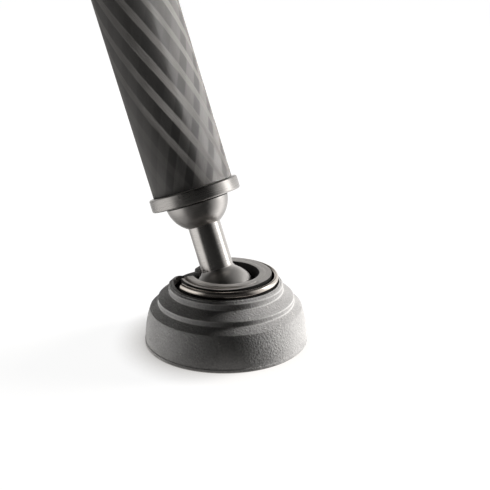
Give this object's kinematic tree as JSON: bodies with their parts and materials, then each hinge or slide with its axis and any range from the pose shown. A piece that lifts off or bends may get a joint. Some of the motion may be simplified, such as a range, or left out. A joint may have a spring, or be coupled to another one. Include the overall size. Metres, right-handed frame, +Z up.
{
  "type": "camera monopod",
  "caption": "Carbon camera monopod with telescoping twist-lock sections, a foam grip, a round top plate and a ball-jointed rubber foot.",
  "frame": {"origin": "centre of the foot's sole, on the floor", "axes": "+Z up from the floor; the column leans 20 degrees towards azimuth 145.6 degrees, measured from +X to +Y"},
  "size_m": [0.1941, 0.1508, 0.4899],
  "materials": {
    "rubber": "matte with a fine grain",
    "core": "moulded",
    "ring_metal": "dark satin",
    "wire": "bright drawn wire",
    "seat_plastic": "smooth",
    "steel": "turned and polished",
    "gunmetal": "satin dark anodised",
    "carbon": "wound carbon under clear lacquer",
    "bush_plastic": "smooth",
    "band_rubber": "fluted, matte",
    "foam": "soft, matte",
    "screw_steel": "zinc plated"
  },
  "bodies": {
    "foot": {"rubber_foot": "rubber", "foot_core": "core", "split_ring": "ring_metal", "spring_ring": "wire"},
    "seat": {"ball_seat": "seat_plastic"},
    "stem": {"ball_stem": "steel"},
    "leg_4": {"stem_dome": "gunmetal", "end_cap": "gunmetal", "tube_4": "carbon", "bush_4": "bush_plastic"},
    "leg_3": {"tube_3": "carbon", "bush_3": "bush_plastic", "lock_3_sleeve": "gunmetal", "lock_3_collet": "seat_plastic"},
    "lock_3": {"lock_3_ring": "gunmetal", "lock_3_band": "band_rubber", "lock_3_seal": "band_rubber"},
    "leg_2": {"tube_2": "carbon", "bush_2": "bush_plastic", "lock_2_sleeve": "gunmetal", "lock_2_collet": "seat_plastic"},
    "lock_2": {"lock_2_ring": "gunmetal", "lock_2_band": "band_rubber", "lock_2_seal": "band_rubber"},
    "leg_1": {"tube_1": "carbon", "lock_1_sleeve": "gunmetal", "lock_1_collet": "seat_plastic", "grip_ring": "gunmetal", "hand_grip": "foam", "head": "gunmetal", "top_plate": "gunmetal", "top_pad": "band_rubber", "camera_screw": "screw_steel", "set_screws": "screw_steel"},
    "lock_1": {"lock_1_ring": "gunmetal", "lock_1_band": "band_rubber", "lock_1_seal": "band_rubber"}
  },
  "joints": [
    {"name": "foot_swivel", "type": "hinge", "parent": "foot", "child": "seat", "pos_m": [0, 0, 0.0138], "axis": [0, 0, 1], "continuous": true},
    {"name": "leg_tilt", "type": "hinge", "parent": "seat", "child": "stem", "pos_m": [0, 0, 0.0138], "axis": [-0.565, -0.8251, 0], "range_deg": [-48, 8]},
    {"name": "leg_pan", "type": "hinge", "parent": "stem", "child": "leg_4", "pos_m": [-0.00858, 0.00587, 0.04237], "axis": [-0.2822, 0.1932, 0.9397], "continuous": true},
    {"name": "section_3_slide", "type": "slide", "parent": "leg_4", "child": "leg_3", "axis": [-0.2822, 0.1932, 0.9397], "range_m": [-0.066, 0.236]},
    {"name": "section_2_slide", "type": "slide", "parent": "leg_3", "child": "leg_2", "axis": [-0.2822, 0.1932, 0.9397], "range_m": [0, 0.274]},
    {"name": "section_1_slide", "type": "slide", "parent": "leg_2", "child": "leg_1", "axis": [-0.2822, 0.1932, 0.9397], "range_m": [0, 0.247]},
    {"name": "lock_3_twist", "type": "hinge", "parent": "leg_3", "child": "lock_3", "pos_m": [-0.03327, 0.02278, 0.12459], "axis": [-0.2822, 0.1932, 0.9397], "range_deg": [0, 90]},
    {"name": "lock_2_twist", "type": "hinge", "parent": "leg_2", "child": "lock_2", "pos_m": [-0.04281, 0.02931, 0.15635], "axis": [-0.2822, 0.1932, 0.9397], "range_deg": [0, 90]},
    {"name": "lock_1_twist", "type": "hinge", "parent": "leg_1", "child": "lock_1", "pos_m": [-0.05235, 0.03584, 0.18811], "axis": [-0.2822, 0.1932, 0.9397], "range_deg": [0, 90]}
  ]
}
